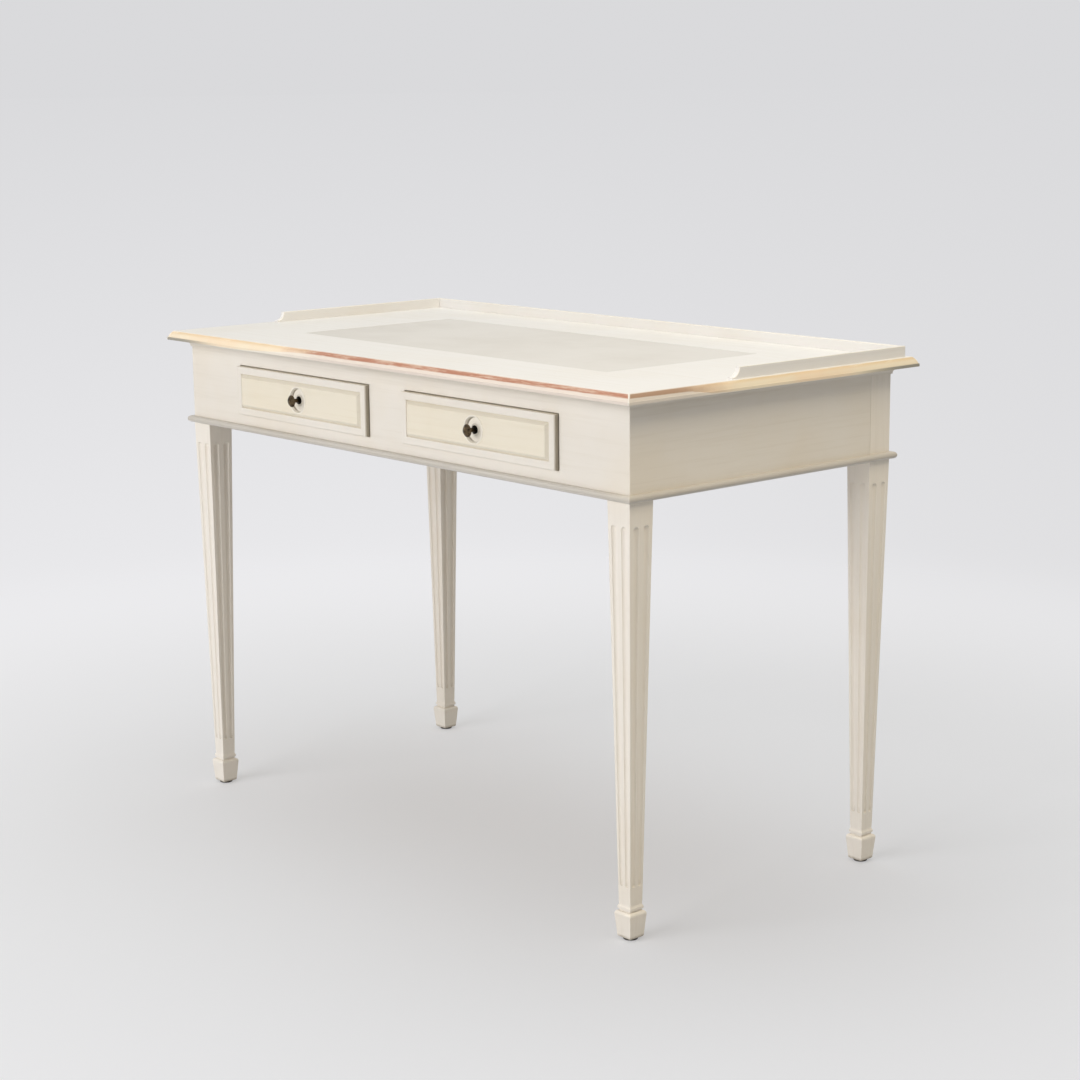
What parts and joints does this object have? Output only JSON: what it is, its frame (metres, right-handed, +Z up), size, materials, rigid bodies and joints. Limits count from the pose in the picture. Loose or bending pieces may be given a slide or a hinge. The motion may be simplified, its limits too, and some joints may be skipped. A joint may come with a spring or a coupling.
{
  "type": "writing desk",
  "caption": "Painted writing desk with drawers in a shallow frieze, fluted tapered legs on block feet, an inset leather writing surface and a low gallery round the back and sides.",
  "frame": {"origin": "on the floor, under the middle of the desk", "axes": "+X to the sitter's right along the front, +Y from the front to the back, +Z up"},
  "size_m": [1.06, 0.564, 0.7575],
  "materials": {
    "painted_wood": "brushed cream paint, satin",
    "gilded_edge": "cream paint with a worn gilt band",
    "drawer_field": "yellowed cream paint, satin",
    "bare_wood": "unpainted, planed",
    "writing_leather": "pale grey, matte",
    "painted_plate": "cream paint, satin",
    "aged_brass": "aged",
    "steel": "plain",
    "foot_glide": "dark"
  },
  "bodies": {
    "desk": {"leg_front_left": "painted_wood", "leg_front_right": "painted_wood", "leg_back_left": "painted_wood", "leg_back_right": "painted_wood", "front_rail_top": "painted_wood", "front_rail_bottom": "painted_wood", "front_stile_left": "painted_wood", "front_stile_centre": "painted_wood", "front_stile_right": "painted_wood", "apron_left": "painted_wood", "apron_right": "painted_wood", "apron_back": "painted_wood", "bead_front": "painted_wood", "bead_left": "painted_wood", "bead_right": "painted_wood", "bead_back": "painted_wood", "cove_front": "painted_wood", "cove_left": "painted_wood", "cove_right": "painted_wood", "cove_back": "painted_wood", "top_panel": "painted_wood", "gallery_left": "painted_wood", "gallery_right": "painted_wood", "gallery_back": "painted_wood", "top_edge_front": "gilded_edge", "top_edge_left": "gilded_edge", "top_edge_right": "gilded_edge", "top_edge_back": "gilded_edge", "corner_braces": "bare_wood", "gallery_dowels": "bare_wood", "runner_left_inner": "bare_wood", "runner_left_outer": "bare_wood", "runner_right_inner": "bare_wood", "runner_right_outer": "bare_wood", "kicker_left": "bare_wood", "kicker_right": "bare_wood", "drawer_stops": "bare_wood", "writing_leather": "writing_leather", "foot_glides": "foot_glide", "brace_screws": "steel"},
    "left_drawer": {"left_drawer_front": "drawer_field", "left_drawer_frame": "painted_wood", "left_drawer_left_side": "bare_wood", "left_drawer_right_side": "bare_wood", "left_drawer_back": "bare_wood", "left_drawer_bottom": "bare_wood", "left_rosette": "painted_plate", "left_knob": "aged_brass", "left_knob_bolt": "steel"},
    "right_drawer": {"right_drawer_front": "drawer_field", "right_drawer_frame": "painted_wood", "right_drawer_left_side": "bare_wood", "right_drawer_right_side": "bare_wood", "right_drawer_back": "bare_wood", "right_drawer_bottom": "bare_wood", "right_rosette": "painted_plate", "right_knob": "aged_brass", "right_knob_bolt": "steel"}
  },
  "joints": [
    {"name": "left_drawer_slide", "type": "slide", "parent": "desk", "child": "left_drawer", "axis": [0, -1, 0], "range_m": [0, 0.3]},
    {"name": "right_drawer_slide", "type": "slide", "parent": "desk", "child": "right_drawer", "axis": [0, -1, 0], "range_m": [0, 0.3]}
  ]
}
